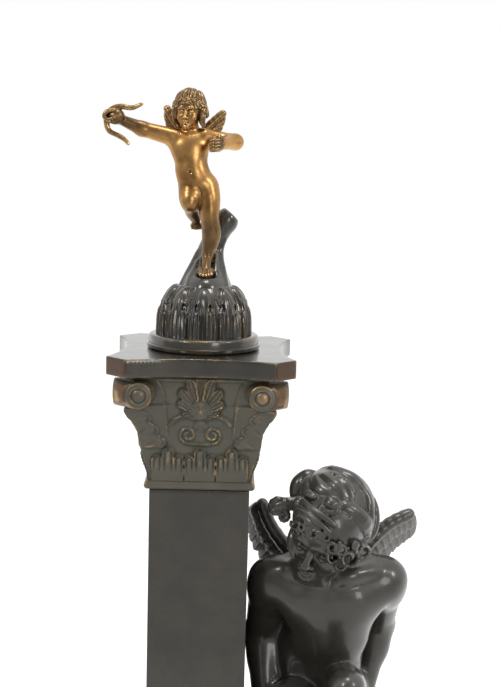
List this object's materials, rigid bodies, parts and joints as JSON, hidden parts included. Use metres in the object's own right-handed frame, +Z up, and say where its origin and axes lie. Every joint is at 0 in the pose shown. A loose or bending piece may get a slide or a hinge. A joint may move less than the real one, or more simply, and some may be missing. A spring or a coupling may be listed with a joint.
{
  "type": "cupid statue group on a pillar",
  "caption": "Bronze group: a gilt cupid with a bow on top of a leafy pillar, and a dark winged boy seated on a rock beside it, on a low plinth.",
  "frame": {"origin": "centre of the plinth's underside", "axes": "+Z up through the pillar and the small figure; -Y is the front, towards the viewer; +X is the viewer's right, where the large figure sits"},
  "size_m": [0.1758, 0.125, 0.3692],
  "materials": {
    "dark_bronze": "cast bronze, near-black brown patina, waxed to a gloss",
    "satin_bronze": "cast bronze, satin dark patina, golden on worn leaf edges, greenish in the hollows",
    "gilt_bronze": "gilt bronze, warm gold with brown in the hollows"
  },
  "bodies": {
    "root": {"plinth": "dark_bronze", "rock_seat": "dark_bronze", "winged_boy": "dark_bronze", "pillar_shaft": "dark_bronze", "capital": "satin_bronze", "abacus": "dark_bronze", "leaf_dome": "dark_bronze", "gilt_cupid": "gilt_bronze"}
  },
  "joints": []
}
